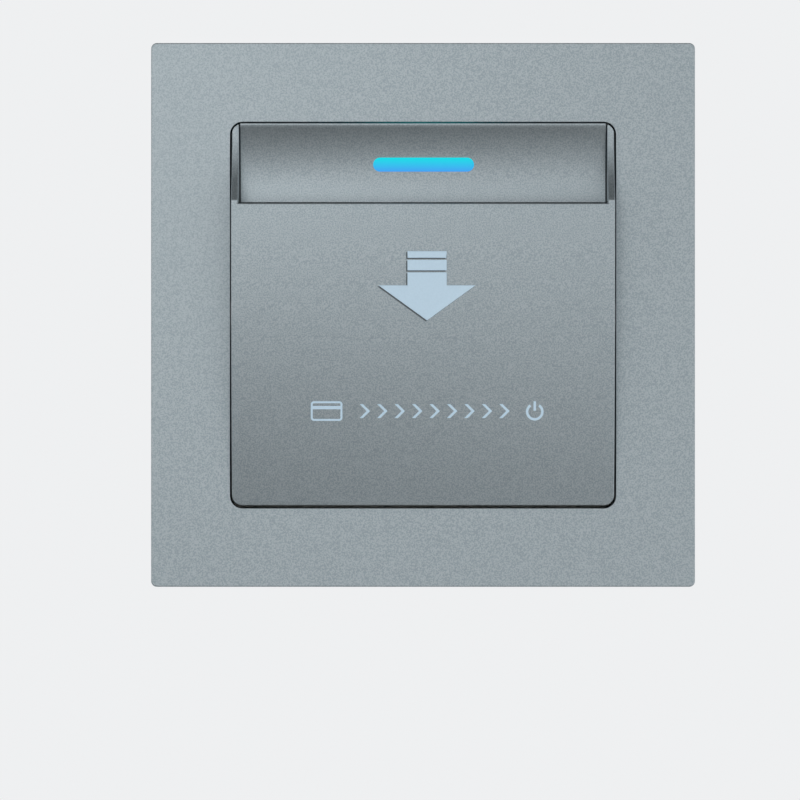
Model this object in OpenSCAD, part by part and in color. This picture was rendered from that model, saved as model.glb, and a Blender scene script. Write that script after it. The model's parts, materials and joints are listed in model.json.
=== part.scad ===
// Hotel key card switch: a square wall plate with a card pocket in it, which snaps onto a base
// that carries a relay board in a rear housing. All sizes are in millimetres. The wall is the
// plane y = 0, the room is on the -y side and +z is up.

/* [Face plate] */
// Width of the plate's border, from the window to the outer edge
border_w = 12.5; // [12:0.25:16]
// Wall thickness of the face plate
plate_wall = 2; // [1.6:0.1:2.4]
// Corner radius of the face plate, seen from the front
plate_corner_r = 0.9; // [0.6:0.1:2]
// Rounding of the face plate's front edges
plate_edge_r = 0.2; // [0.1:0.1:0.8]
// Gap between the face plate's skirt and the wall
skirt_gap = 0.3; // [0.2:0.1:0.8]

/* [Window and module] */
// Side of the square window in the face plate
window_w = 61; // [60:0.5:66]
// Corner radius of the window
window_corner_r = 1.9; // [1.4:0.1:3]
// Gap between the window and the module in it
module_gap = 0.3; // [0.2:0.05:0.5]
// Thickness of the collar behind the window's edge
collar_t = 1.2; // [1:0.1:1.6]

/* [Pocket cover] */
// Height of the cover, from the module's lower edge to the pocket's mouth
cover_h = 47.5; // [44:0.1:50]
// How far the cover's top edge stands proud of the face plate
cover_proud = 5; // [3.5:0.25:7]
// Wall thickness of the cover
cover_wall = 1.8; // [1.4:0.1:2.2]
// Thickness of the cheeks on both sides of the recess
cheek_w = 1.1; // [1:0.1:1.6]
// How far the cheeks' lower ends rise above the mouth
ear_rise = 0.7; // [0.2:0.1:1]
// Thickness of the pocket's floor
floor_wall = 1.8; // [1.4:0.1:2.4]
// Chamfer inside the mouth, which leads the card in
mouth_chamfer = 0.9; // [0.5:0.1:1.2]

/* [Guide ribs] */
// Width of the card's slot between the ribs and the panel
card_slot = 1.7; // [1.4:0.1:2.2]
// Thickness of a guide rib
rib_t = 1.2; // [1:0.1:1.6]
// Height of the ribs' straight part above the floor
rib_h = 18; // [14:0.5:22]
// Distance of the inner ribs from the middle
rib_inner_x = 11; // [9:0.5:13]
// Distance of the outer ribs from the middle
rib_outer_x = 23; // [18:0.5:25]

/* [Finger recess] */
// Radius of the recess
recess_r = 28; // [24:0.5:34]
// Depth of the recess behind the face plate's front
recess_depth = 1.75; // [1.25:0.05:2.25]
// Depth of the pocket's back wall behind the face plate's front
pocket_depth = 5; // [4:0.25:5.5]
// How far above the mouth the panel turns back into the pocket
throat_rise = 0.65; // [0.4:0.05:1]
// Height of the slope that leads from the recess to the pocket's back wall
throat_h = 3; // [2:0.25:7]
// Height of the flat land between the recess and the panel's top
recess_land = 0.2; // [0.1:0.05:0.8]
// Wall thickness of the panel that forms the recess
panel_wall = 1.4; // [1.2:0.1:1.8]
// Gap between the panel and the cheeks and floor beside it
panel_gap = 0.2; // [0.1:0.05:0.3]

/* [Indicator] */
// Width of the light bar
lens_w = 16; // [12:0.5:20]
// Height of the light bar
lens_h = 2.35; // [1.8:0.05:3]
// Height of the light bar above the recess's deepest line
lens_rise = 3.5; // [2.5:0.1:4.2]
// Gap between the light bar and its window
lens_gap = 0.1; // [0.05:0.05:0.2]
// How far the light bar stands out of the recess
lens_proud = 0.1; // [0.05:0.05:0.3]
// How far the light guide's flange reaches past the bar
lens_flange = 0.9; // [0.6:0.1:1.2]
// Length of an indicator lamp's body
led_l = 4; // [3:0.25:5]
// Radius of an indicator lamp
led_r = 1.5; // [1:0.1:1.6]
// Distance of the two lamps from the middle
led_x = 4; // [3:0.25:5]

/* [Front screws] */
// Thickness of the ears that the screws clamp
ear_t = 1.4; // [1.2:0.1:1.6]
// Distance of the screws from the window's edge
boss_reach = 4; // [3.8:0.1:4.5]
// Height of the screws above and below the middle
boss_z = 18; // [14:0.5:22]
// Radius of the bosses behind the face plate
boss_r = 2.4; // [2.1:0.1:2.8]
// Radius of the front screws
front_screw_r = 1.1; // [0.9:0.05:1.2]
// Height of the front screws' heads
front_head_t = 1; // [0.8:0.1:1.2]

/* [Base plate] */
// Thickness of the base plate
base_t = 2; // [1.8:0.1:3]
// Gap between the base plate and the face plate's skirt
base_gap = 0.5; // [0.4:0.1:0.8]
// Height of the rim on the base plate
rim_h = 4; // [3.2:0.1:4.6]
// Thickness of the rim
rim_t = 1.6; // [1.3:0.1:2]
// Distance between the two wall screws
screw_pitch = 60.3; // [60:0.05:61]
// Radius of the ends of the wall screws' slots
slot_r = 2.2; // [2:0.05:2.5]
// Length of the wall screws' slots
slot_l = 8; // [7:0.1:9]
// How far the wall screws' seats are sunk into the base plate
seat_sink = 0.8; // [0.5:0.1:1]
// Space for the wall screws' heads between the base plate and the panel
head_room = 2.6; // [2.5:0.1:3.5]

/* [Snap legs] */
// Width of a snap leg
leg_w = 8; // [6:0.5:10]
// Thickness of a snap leg
leg_t = 1.4; // [1.1:0.1:1.6]
// Distance of the legs from the middle
leg_x = 18; // [14:0.5:24]
// Gap between a leg and the rim
leg_gap = 0.35; // [0.3:0.05:0.5]
// Gap between a leg's ridge and the rim as it slides past
ridge_gap = 0.1; // [0.1:0.05:0.2]

/* [Trigger] */
// Width of the trigger
trigger_w = 8; // [6:0.5:10]
// Width of the trigger's toe
toe_w = 5; // [4:0.5:6]
// How far the trigger's toe stands into the pocket
toe_reach = 2.5; // [2:0.1:3]
// Radius of the toe's tip
toe_r = 1; // [0.7:0.1:1.3]
// Height of the toe above the pocket's floor
toe_rise = 10.2; // [9:0.2:12]
// Height of the toe's upper slope above its tip
toe_top = 6.8; // [6:0.2:8]
// Height of the toe's lower slope below its tip
toe_low = 2.6; // [2:0.2:3.2]
// How far the arm runs down past the toe's tip
arm_tail = 3.6; // [3.2:0.2:4.4]
// Height of the pin above the toe
trigger_arm = 19.5; // [18:0.5:22]
// Angle that the trigger swings back
trigger_swing = 8; // [6:0.5:8]
// Thickness of the trigger's arm
arm_t = 2.2; // [1.8:0.1:2.6]
// Radius of the trigger's hub
hub_r = 2.4; // [2.1:0.1:2.8]
// Radius of the trigger's pin
pin_r = 1; // [0.8:0.05:1.2]
// Running clearance of the hub on the pin
pin_play = 0.05; // [0.03:0.01:0.08]
// Gap between the trigger's foot and the base plate that stops it
stop_gap = 0.3; // [0.2:0.05:0.5]
// Gap between the trigger and the lugs and plates beside it
side_gap = 0.4; // [0.3:0.05:0.6]
// Thickness of the lugs that hold the pin
lug_t = 2.4; // [2:0.1:3]

/* [Return spring] */
// Length of the spring at rest
spring_l = 7; // [6:0.25:9]
// Radius of the spring at the middle of its wire
spring_r = 1.5; // [1.3:0.05:1.8]
// Radius of the spring's wire
wire_r = 0.2; // [0.15:0.01:0.25]
// Number of turns
spring_turns = 6; // [5:1:7]
// Distance of the spring behind the pin
tail_reach = 5; // [4.5:0.25:5.5]
// Gap between the spring and its seats
seat_gap = 0.1; // [0.05:0.05:0.2]

/* [Microswitch] */
// Width of the microswitch
switch_w = 12.8; // [11:0.2:14]
// Height of the microswitch above the board
switch_h = 6.4; // [6:0.1:7]
// Thickness of the microswitch
switch_d = 5.8; // [5:0.1:6.5]
// Distance of the plunger below the trigger's pin
plunger_drop = 8.2; // [7.8:0.1:9]
// How far the plunger stands out at rest
plunger_h = 1.9; // [1.7:0.1:2.4]
// Gap between the plunger and the trigger
plunger_gap = 0.3; // [0.2:0.05:0.4]

/* [Rear housing] */
// Wall thickness of the housing
housing_wall = 1.8; // [1.5:0.1:2.2]
// Corner radius of the housing
housing_corner_r = 3; // [2:0.25:4]
// Rounding of the housing's rear edges
housing_edge_r = 1.2; // [0.6:0.1:1.6]
// Land left on the base plate between a slot and the housing
slot_land = 1.15; // [1:0.05:2]
// Height of the housing above the lamps
lamp_land = 5.25; // [5:0.25:7]
// Radius of the housing screws
housing_screw_r = 1.1; // [0.9:0.05:1.2]
// Radius of the housing screws' heads
housing_head_r = 2.2; // [2:0.1:2.3]
// Height of the housing screws' heads
housing_head_t = 1.6; // [1.2:0.1:2]
// Distance of the housing screws from the inside of the walls
post_inset = 2.4; // [2.2:0.1:2.8]

/* [Circuit] */
// Thickness of the circuit board
board_t = 1.6; // [1.2:0.1:2]
// Gap between the board and the housing
board_gap = 0.4; // [0.3:0.1:0.6]
// Width of the relay
relay_w = 19; // [17:0.5:20]
// Height of the relay above the board
relay_h = 14.2; // [13.5:0.1:16]
// Thickness of the relay
relay_d = 15.5; // [14:0.5:16]
// Width of the film capacitor
film_w = 18; // [15:0.5:19]
// Height of the film capacitor above the board
film_h = 12.5; // [11:0.5:13]
// Thickness of the film capacitor
film_d = 8.5; // [7:0.5:9]
// Radius of the electrolytic capacitor
can_r = 5; // [4:0.25:5.5]
// Height of the electrolytic capacitor above the board
can_h = 12; // [10:0.5:13]
// Radius of the varistor
varistor_r = 4.5; // [3.5:0.25:5]
// Thickness of the varistor
varistor_t = 4; // [3:0.25:4.5]
// Gap between one component and the next
part_gap = 1.2; // [1:0.1:1.5]

/* [Terminals] */
// Distance from one terminal to the next
terminal_pitch = 8.2; // [7.8:0.1:8.4]
// Height of the terminal block
block_h = 10.4; // [10:0.1:11]
// Width of a brass clamp
clamp_w = 5.6; // [5:0.1:5.8]
// Length of a brass clamp along the wire
clamp_l = 6.5; // [6:0.1:7]
// Side of the square wire entry
wire_entry = 3.6; // [3:0.1:3.8]
// Radius of a terminal screw
terminal_screw_r = 1.45; // [1.2:0.05:1.6]
// Radius of a terminal screw's head
terminal_head_r = 2.1; // [1.8:0.05:2.3]

/* [Hidden] */
$fn = 64;

// Fineness of the cover's wide arc
BOW_FN = 256;
// Overlap that joins two bodies of one piece
JOIN = 0.2;
// Reach of a cut past the face it opens
CUT = 1;
// Running gap between a small piece and its hole
FIT = 0.05;
// Free gap round a screw or a head in a piece that it only passes
CLEAR = 0.3;
// Step between two faces that must not rub
STEP = 0.4;

// Depths, from the wall to the room
base_front_y = -base_t;
panel_back_y = base_front_y - head_room;
pocket_y = panel_back_y - panel_wall;
front_y = pocket_y - pocket_depth;
proud_y = front_y - cover_proud;
plate_back_y = front_y + plate_wall;
tray_back_y = panel_back_y - STEP;
boss_end_y = tray_back_y - ear_t;
panel_ear_y = tray_back_y + ear_t;

// Face plate, window and module
plate_w = window_w + 2 * border_w;
skirt_inner = plate_w / 2 - plate_wall;
module_half = window_w / 2 - module_gap;
module_corner_r = window_corner_r - module_gap;
cheek_x = module_half - cheek_w;
panel_x = cheek_x - panel_gap;
floor_z = -module_half + floor_wall;
mouth_z = cover_h - module_half;
boss_x = window_w / 2 + boss_reach;
ear_land = 0.6;
ear_r = boss_r + ear_land;

// Bow of the cover: upright at the mouth, level with the face plate at the lower edge
bow_r = (cover_h * cover_h + cover_proud * cover_proud) / (2 * cover_proud);
bow_y = proud_y + bow_r;
// Sweep of the cheeks: level with the face plate at the top, proud at the mouth
sweep_h = module_half - mouth_z - ear_rise;
sweep_r = (sweep_h * sweep_h + cover_proud * cover_proud) / (2 * cover_proud);
// Recess: an arc about an axis in front of the face plate
recess_back_y = front_y + recess_depth;
recess_y = recess_back_y - recess_r;
recess_z = module_half - recess_land - sqrt(recess_r * recess_r - pow(recess_r - recess_depth, 2));
lens_z = recess_z + lens_rise;
// The throat starts just above the mouth, but below the recess's deepest line
throat_z = min(mouth_z + throat_rise, recess_z - STEP);
throat_low_z = throat_z - throat_h;

// Base plate
base_w = plate_w - 2 * (plate_wall + base_gap);
base_corner_r = 2;
seat_land = 2;
rim_inner = base_w / 2 - rim_t;
leg_outer = rim_inner - leg_gap;
ridge_h = leg_gap - ridge_gap;
leg_end_y = base_front_y - 2 * STEP;
ridge_slope = 0.5;
ridge_land = 0.3;
ridge_rise = 1.2;
ridge_y = leg_end_y - ridge_rise;
catch_play = 0.5;
catch_x = leg_w / 2 + catch_play;
catch_front_y = ridge_y - ridge_slope - STEP;
catch_land = 1;
catch_back_y = ridge_y + catch_land;

// Trigger
toe_z = floor_z + toe_rise;
toe_y = pocket_y - toe_reach + toe_r;
pin_z = toe_z + trigger_arm;
pin_y = hub_r + side_gap;
arm_front_y = 2 * side_gap + STEP;
arm_back_y = arm_front_y + arm_t;
arm_end_z = toe_z - arm_tail;
toe_top_z = toe_z + toe_top;
toe_low_z = toe_z - toe_low;
// The toe drops as it swings back
toe_drop = (pin_y - toe_y + toe_r) * sin(trigger_swing) + side_gap;
lug_x = trigger_w / 2 + side_gap;
foot_reach = 1.5;
foot_x = trigger_w / 2 + foot_reach;
foot_h = 3.4;
window_x = toe_w / 2 + side_gap;
window_top_z = toe_top_z + side_gap;
window_low_z = arm_end_z - toe_drop;

// Tail, spring and the shelf above it
spring_y = pin_y + tail_reach;
tail_t = 2.2;
tail_top_z = pin_z + tail_t / 2;
spring_z = tail_top_z + seat_gap;
shelf_z = spring_z + spring_l + seat_gap;
shelf_t = 1.6;
seat_rim = 0.6;
seat_end_y = spring_y + spring_r + wire_r + seat_rim;
peg_r = spring_r - wire_r - STEP;
peg_l = 1.3;

// Microswitch and board
plunger_z = pin_z - plunger_drop;
plunger_y = arm_back_y + plunger_gap;
switch_y = plunger_y + plunger_h;
plunger_travel = plunger_drop * tan(trigger_swing);
board_y = switch_y + switch_h;
board_back_y = board_y + board_t;

// Rear housing
housing_w = screw_pitch - slot_l - 2 * slot_land;
housing_h = 2 * (lens_z + lamp_land);
inner_w = housing_w - 2 * housing_wall;
inner_h = housing_h - 2 * housing_wall;
housing_back_y = board_back_y + relay_h + STEP;
housing_depth = housing_back_y + housing_wall;
post_x = inner_w / 2 - post_inset;
post_z = inner_h / 2 - post_inset;
post_r = post_inset - JOIN;
sleeve_wall = 1.2;
sleeve_r = housing_head_r + sleeve_wall;
sleeve_floor = 1.6;
housing_thread_l = 8;
// Lip behind the base plate that centres the housing
lip_t = 1.2;
lip_h = 2.4;
lip_w = inner_w - CLEAR;
lip_l = inner_h - CLEAR;

// Board layout, on the board's rear face
board_w = inner_w - 2 * board_gap;
board_h = inner_h - 2 * board_gap;
block_z = -inner_h / 2 + board_gap / 2;
block_w = 4 * terminal_pitch + 2 * STEP;
rectifier_w = 8.5;
rectifier_d = 6.4;
rectifier_h = 3.2;
resistor_r = 1.1;
resistor_l = 6.2;
relay_x = -board_w / 2 + part_gap;
relay_z = block_z + block_h + part_gap;
film_z = relay_z + relay_d + part_gap;
chip_reach = 2.6;
chip_z = film_z + film_d + part_gap + chip_reach;
column_x = relay_x + relay_w + part_gap;
varistor_x = column_x + varistor_r + part_gap;
rectifier_z = relay_z + varistor_t + part_gap;
can_z = rectifier_z + rectifier_d + part_gap + can_r;
resistor_z = can_z + can_r + part_gap + resistor_r;

// Terminals
terminal_xs = [for (i = [-1.5 : 1 : 1.5]) i * terminal_pitch];
clamp_z = block_z + clamp_l / 2 + 2 * CLEAR;
clamp_rise = 3.4;
clamp_y = board_back_y + clamp_rise;
clamp_d = 8;
clamp_wall = 1.2;
wire_y = clamp_y + clamp_wall + wire_entry / 2 + JOIN;
cage_top_y = clamp_y + clamp_d;
head_y = cage_top_y + CLEAR;
block_end_y = housing_back_y - JOIN;
cell_gap = 0.2;

// A flat shape in (y, z), drawn out along x
module along_x(x0, x1) {
    translate([x0, 0, 0]) rotate([90, 0, 90]) linear_extrude(x1 - x0) children();
}

// A flat shape in (x, z), drawn out along y
module along_y(y0, y1) {
    translate([0, y1, 0]) rotate([90, 0, 0]) linear_extrude(y1 - y0) children();
}

// A round rod along y
module rod_y(r, y0, y1) {
    translate([0, y1, 0]) rotate([90, 0, 0]) cylinder(r = r, h = y1 - y0);
}

// A round rod along x
module rod_x(r, x0, x1) {
    translate([x0, 0, 0]) rotate([0, 90, 0]) cylinder(r = r, h = x1 - x0);
}

// A rectangle given by its corners
module area(a0, b0, a1, b1) {
    translate([a0, b0]) square([a1 - a0, b1 - b0]);
}

// A box given by its corners
module box(p, q) {
    translate(p) cube(q - p);
}

// A rectangle with round corners
module rounded(w, h, r) {
    square([w - 2 * r, h], center = true);
    square([w, h - 2 * r], center = true);
    for (x = [-1, 1], z = [-1, 1])
        translate([x * (w / 2 - r), z * (h / 2 - r)]) circle(r);
}

// A bar with half-round ends, along the first axis
module stadium(l, h) {
    square([l - h, h], center = true);
    for (s = [-1, 1])
        translate([s * (l - h) / 2, 0]) circle(h / 2);
}

// A block's side view: depth along the first axis, with its two front edges rounded
module eased_side(w, depth, r) {
    area(r, -w / 2, depth, w / 2);
    area(0, -w / 2 + r, depth, w / 2 - r);
    for (s = [-1, 1])
        translate([r, s * (w / 2 - r)]) circle(r);
}

// A block from y = 0 to its depth, with round corners and a rounded edge round its front
module eased_block(w, h, depth, corner_r, edge_r) {
    intersection() {
        along_y(0, depth) rounded(w, h, corner_r);
        along_x(-w / 2, w / 2) eased_side(h, depth, edge_r);
        translate([0, 0, -h / 2]) linear_extrude(h) rotate(90) mirror([0, 1]) eased_side(w, depth, edge_r);
    }
}

// Places on both sides of the middle, and at the four corners
module pair(x) {
    for (s = [-1, 1])
        translate([s * x, 0, 0]) children();
}

module corners(x, z) {
    for (s = [-1, 1], t = [-1, 1])
        translate([s * x, 0, t * z]) children();
}

// The point where a line from p touches the circle about c, on the side given by its sign
function tangent(p, c, r, side) =
    let (d = p - c, a = atan2(d[1], d[0]) + side * acos(r / norm(d)))
    c + r * [cos(a), sin(a)];

// Outline of the module, seen from the front
module module_outline() {
    rounded(2 * module_half, 2 * module_half, module_corner_r);
}

// An ear that reaches from the module out to a front screw, on the right
module screw_ear(x0, y0, y1) {
    difference() {
        along_y(y0, y1) {
            area(x0, boss_z - ear_r, boss_x, boss_z + ear_r);
            translate([boss_x, boss_z]) circle(ear_r);
        }
        translate([boss_x, 0, boss_z]) rod_y(front_screw_r + CLEAR, y0 - CUT, y1 + CUT);
    }
}

module screw_ears(x0, y0, y1) {
    for (s = [0, 1], t = [0, 1])
        mirror([s, 0, 0]) mirror([0, 0, t]) screw_ear(x0, y0, y1);
}

// A snap leg at the top right: its ridge faces up, to the rim
module snap_leg() {
    along_x(leg_x - leg_w / 2, leg_x + leg_w / 2) polygon([
        [plate_back_y - JOIN, leg_outer],
        [ridge_y - ridge_slope, leg_outer],
        [ridge_y, leg_outer + ridge_h],
        [ridge_y + ridge_land, leg_outer + ridge_h],
        [leg_end_y, leg_outer - STEP],
        [leg_end_y, leg_outer - leg_t],
        [plate_back_y - JOIN, leg_outer - leg_t]
    ]);
}

module trim_frame() {
    color([0.58, 0.62, 0.64]) difference() {
        union() {
            difference() {
                translate([0, front_y, 0])
                    eased_block(plate_w, plate_w, -front_y - skirt_gap, plate_corner_r, plate_edge_r);
                along_y(plate_back_y, CUT) square(2 * skirt_inner, center = true);
            }
            along_y(plate_back_y - JOIN, boss_end_y - STEP)
                rounded(window_w + 2 * collar_t, window_w + 2 * collar_t, window_corner_r + collar_t);
            corners(boss_x, boss_z) rod_y(boss_r, plate_back_y - JOIN, boss_end_y);
            for (s = [0, 1], t = [0, 1])
                mirror([s, 0, 0]) mirror([0, 0, t]) snap_leg();
        }
        along_y(front_y - CUT, CUT) rounded(window_w, window_w, window_corner_r);
        corners(boss_x, boss_z) rod_y(front_screw_r + FIT, plate_back_y - STEP, CUT);
    }
}

// The cover's side view without the cheeks' sweep, from the bow back to the tray's rear edge
module bowed_side(top_z) {
    intersection() {
        translate([bow_y, mouth_z]) circle(bow_r, $fn = BOW_FN);
        area(proud_y - CUT, -module_half - CUT, tray_back_y, top_z);
    }
}

module cheek_side() {
    difference() {
        union() {
            bowed_side(mouth_z);
            area(proud_y, mouth_z, tray_back_y, module_half + CUT);
        }
        translate([front_y - sweep_r, module_half]) circle(sweep_r, $fn = 128);
    }
}

module cover_side() {
    difference() {
        bowed_side(mouth_z);
        translate([bow_y, mouth_z]) circle(bow_r - cover_wall, $fn = BOW_FN);
    }
}

// A guide rib behind the cover, with a slope at its top that leads the card to the panel
module guide_rib() {
    intersection() {
        bowed_side(mouth_z);
        polygon([
            [proud_y, floor_z - JOIN],
            [pocket_y - card_slot, floor_z - JOIN],
            [pocket_y - card_slot, floor_z + rib_h],
            [proud_y, floor_z + rib_h + (pocket_y - card_slot - proud_y) * 2]
        ]);
    }
}

module pocket_cover() {
    color([0.55, 0.6, 0.63]) union() {
        intersection() {
            along_y(proud_y - CUT, 0) module_outline();
            difference() {
                union() {
                    for (s = [0, 1])
                        mirror([s, 0, 0]) along_x(cheek_x, module_half + CUT) cheek_side();
                    along_x(-module_half - CUT, module_half + CUT) {
                        cover_side();
                        bowed_side(floor_z);
                    }
                    for (x = [rib_inner_x, rib_outer_x])
                        pair(x) along_x(-rib_t / 2, rib_t / 2) guide_rib();
                }
                along_x(-cheek_x, cheek_x) polygon([
                    [proud_y + cover_wall - mouth_chamfer / 2, mouth_z],
                    [proud_y + cover_wall + CUT, mouth_z + CUT],
                    [proud_y + cover_wall + CUT, mouth_z - 2 * mouth_chamfer],
                    [proud_y + cover_wall, mouth_z - 2 * mouth_chamfer]
                ]);
            }
        }
        screw_ears(module_half - cheek_w / 2, boss_end_y, tray_back_y);
    }
}

// Side view of the panel: the recess's arc, then a throat that slopes back to the pocket's wall
module panel_side() {
    slope = atan2(pocket_y - recess_back_y, throat_h);
    back_rise = panel_wall * tan(slope / 2);
    polygon([
        [recess_back_y, recess_z],
        [recess_back_y, throat_z],
        [pocket_y, throat_low_z],
        [pocket_y, floor_z + panel_gap],
        [panel_back_y, floor_z + panel_gap],
        [panel_back_y, throat_low_z + back_rise],
        [recess_back_y + panel_wall, throat_z + back_rise],
        [recess_back_y + panel_wall, recess_z]
    ]);
    difference() {
        intersection() {
            translate([recess_y, recess_z]) circle(recess_r + panel_wall, $fn = 256);
            area(front_y, recess_z, panel_back_y, module_half);
        }
        translate([recess_y, recess_z]) circle(recess_r, $fn = 256);
    }
}

// Side view of the panel's end walls, which stiffen the recess and carry the upper ears
module panel_end_side() {
    polygon([
        [recess_back_y + panel_wall / 2, throat_z],
        [pocket_y + panel_wall / 2, throat_low_z],
        [panel_back_y, throat_low_z],
        [panel_back_y, lens_z],
        [recess_back_y + panel_wall / 2, lens_z]
    ]);
}

module scoop_panel() {
    color([0.5, 0.54, 0.56]) difference() {
        union() {
            intersection() {
                union() {
                    along_x(-panel_x, panel_x) panel_side();
                    for (s = [0, 1])
                        mirror([s, 0, 0]) along_x(panel_x - ear_t, panel_x) panel_end_side();
                }
                along_y(front_y - CUT, 0) module_outline();
            }
            screw_ears(panel_x - 2 * JOIN - ear_t, tray_back_y, panel_ear_y);
        }
        translate([0, 0, lens_z])
            along_y(front_y, 0) stadium(lens_w + 2 * lens_gap, lens_h + 2 * lens_gap);
        box([-window_x, pocket_y - CUT, window_low_z], [window_x, 0, window_top_z]);
    }
}

module indicator_lens() {
    flange_y = recess_back_y + panel_wall + lens_gap;
    flange_t = 1;
    guide_end_y = base_front_y - 2 * CLEAR;
    color([0.13, 0.8, 0.92]) translate([0, 0, lens_z]) difference() {
        union() {
            along_y(front_y, guide_end_y) stadium(lens_w, lens_h);
            along_y(flange_y, flange_y + flange_t)
                stadium(lens_w + 2 * lens_flange, lens_h + 2 * lens_flange);
        }
        translate([0, recess_y, -lens_rise]) rotate([0, 90, 0])
            cylinder(r = recess_r - lens_proud, h = 2 * lens_w, center = true, $fn = 128);
    }
}

// A screw along y with its head towards the wall and a cross in the head
module screw(r, head_r, tip_y, seat_y, head_t) {
    cross_r = head_r * 0.6;
    cross_w = 0.6;
    cross_y = seat_y + head_t * 0.45;
    difference() {
        union() {
            rod_y(r, tip_y, seat_y + JOIN);
            rod_y(head_r, seat_y, seat_y + head_t);
        }
        for (a = [0, 90])
            rotate([0, a, 0]) box([-cross_r, cross_y, -cross_w / 2],
                                  [cross_r, seat_y + head_t + CUT, cross_w / 2]);
    }
}

module front_screws() {
    color([0.72, 0.72, 0.74]) corners(boss_x, boss_z)
        screw(front_screw_r, boss_r - CLEAR, plate_back_y + JOIN, panel_ear_y, front_head_t);
}

// A lug behind the base plate that holds one end of the trigger's pin
module pin_lug() {
    along_x(lug_x, lug_x + lug_t) {
        area(-JOIN, pin_z - hub_r, pin_y, pin_z + hub_r);
        translate([pin_y, pin_z]) circle(hub_r);
    }
}

// The shelf above the return spring, with two gussets and a peg
module spring_shelf() {
    shelf_x = spring_r + wire_r + 1.4;
    gusset_t = 1.2;
    gusset_h = 4;
    box([-shelf_x, -JOIN, shelf_z], [shelf_x, seat_end_y, shelf_z + shelf_t]);
    pair(shelf_x - gusset_t / 2) along_x(-gusset_t / 2, gusset_t / 2) polygon([
        [-JOIN, shelf_z + shelf_t - JOIN],
        [seat_end_y, shelf_z + shelf_t - JOIN],
        [-JOIN, shelf_z + shelf_t + gusset_h]
    ]);
    translate([0, spring_y, shelf_z - peg_l]) cylinder(r = peg_r, h = peg_l + JOIN);
}

module base_plate() {
    light_gap = 0.5;
    color([0.86, 0.86, 0.84]) difference() {
        union() {
            along_y(base_front_y, 0) rounded(base_w, base_w, base_corner_r);
            difference() {
                along_y(base_front_y - rim_h, base_front_y + JOIN) rounded(base_w, base_w, base_corner_r);
                along_y(base_front_y - rim_h - CUT, CUT) square(2 * rim_inner, center = true);
            }
            difference() {
                along_y(-JOIN, lip_h) rounded(lip_w, lip_l, housing_corner_r - housing_wall);
                along_y(-CUT, lip_h + CUT) square([lip_w - 2 * lip_t, lip_l - 2 * lip_t], center = true);
            }
            corners(post_x, post_z) rod_y(post_r, -JOIN, board_y);
            pin_lug();
            mirror([1, 0, 0]) pin_lug();
            spring_shelf();
        }
        pair(screw_pitch / 2) {
            along_y(base_front_y - CUT, CUT) stadium(slot_l, 2 * slot_r);
            along_y(base_front_y - CUT, base_front_y + seat_sink)
                stadium(slot_l + 2 * seat_land, 2 * (slot_r + seat_land));
        }
        for (z = [-1, 1])
            translate([0, 0, z * (rim_inner + rim_t / 2)])
                pair(leg_x) box([-catch_x, catch_front_y, -rim_t], [catch_x, catch_back_y, rim_t]);
        box([-window_x, base_front_y - CUT, window_low_z], [window_x, CUT, window_top_z]);
        translate([0, 0, lens_z]) along_y(base_front_y - CUT, CUT)
            stadium(lens_w, lens_h + 2 * light_gap);
        corners(post_x, post_z)
            rod_y(housing_screw_r + FIT, board_y - housing_thread_l - CUT, board_y + CUT);
        translate([0, pin_y, pin_z]) rod_x(pin_r + pin_play / 2, -lug_x - lug_t - CUT, lug_x + lug_t + CUT);
    }
}

// Side view of the trigger's lever: hub, arm and tail
module lever_side() {
    translate([pin_y, pin_z]) circle(hub_r);
    area(arm_front_y, arm_end_z, arm_back_y, pin_z);
    area(pin_y, pin_z - tail_t / 2, seat_end_y, tail_top_z);
}

// Side view of the toe: two slopes to a round tip
module toe_side() {
    tip = [toe_y, toe_z];
    high = [arm_front_y + JOIN, toe_top_z];
    low = [arm_front_y + JOIN, toe_low_z];
    polygon([high, tangent(high, tip, toe_r, 1), tip, tangent(low, tip, toe_r, -1), low]);
    translate(tip) circle(toe_r);
}

module card_trigger() {
    color([0.93, 0.93, 0.9]) difference() {
        union() {
            along_x(-trigger_w / 2, trigger_w / 2) lever_side();
            along_x(-toe_w / 2, toe_w / 2) toe_side();
            box([-foot_x, stop_gap, arm_end_z], [foot_x, arm_back_y, arm_end_z + foot_h]);
            translate([0, spring_y, tail_top_z - JOIN]) cylinder(r = peg_r, h = peg_l + JOIN);
        }
        translate([0, pin_y, pin_z]) rod_x(pin_r + pin_play, -trigger_w, trigger_w);
    }
}

module trigger_pin() {
    color([0.75, 0.76, 0.78]) translate([0, pin_y, pin_z])
        rod_x(pin_r, -lug_x - lug_t, lug_x + lug_t);
}

// The return spring: one wire along a helix, eight rings a turn and six sides to the wire
RINGS = 8;
SIDES = 6;
spring_steps = spring_turns * RINGS;
spring_pitch = (spring_l - 2 * wire_r) / spring_turns;
function coil_point(i) = [
    spring_r * cos(360 * i / RINGS),
    spring_y + spring_r * sin(360 * i / RINGS),
    spring_z + wire_r + spring_pitch * i / RINGS
];
function wire_point(i, j) =
    let (turn = 360 * i / RINGS, side = 360 * j / SIDES, out = wire_r * cos(side))
    coil_point(i) + [out * cos(turn), out * sin(turn), wire_r * sin(side)];
function ring(i) = [for (j = [0 : SIDES - 1]) i * SIDES + j];
function skin(i) = [
    for (j = [0 : SIDES - 1])
        let (k = (j + 1) % SIDES)
        each [[ring(i)[j], ring(i)[k], ring(i + 1)[j]], [ring(i)[k], ring(i + 1)[k], ring(i + 1)[j]]]
];
function cap(i, turned) = [
    for (j = [1 : SIDES - 2])
        turned ? [ring(i)[0], ring(i)[j + 1], ring(i)[j]] : [ring(i)[0], ring(i)[j], ring(i)[j + 1]]
];
spring_self_gap = min([
    for (i = [0 : spring_steps - RINGS]) norm(coil_point(i + RINGS) - coil_point(i)) - 2 * wire_r
]);
echo(spring_gap_between_turns = spring_self_gap);

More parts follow.
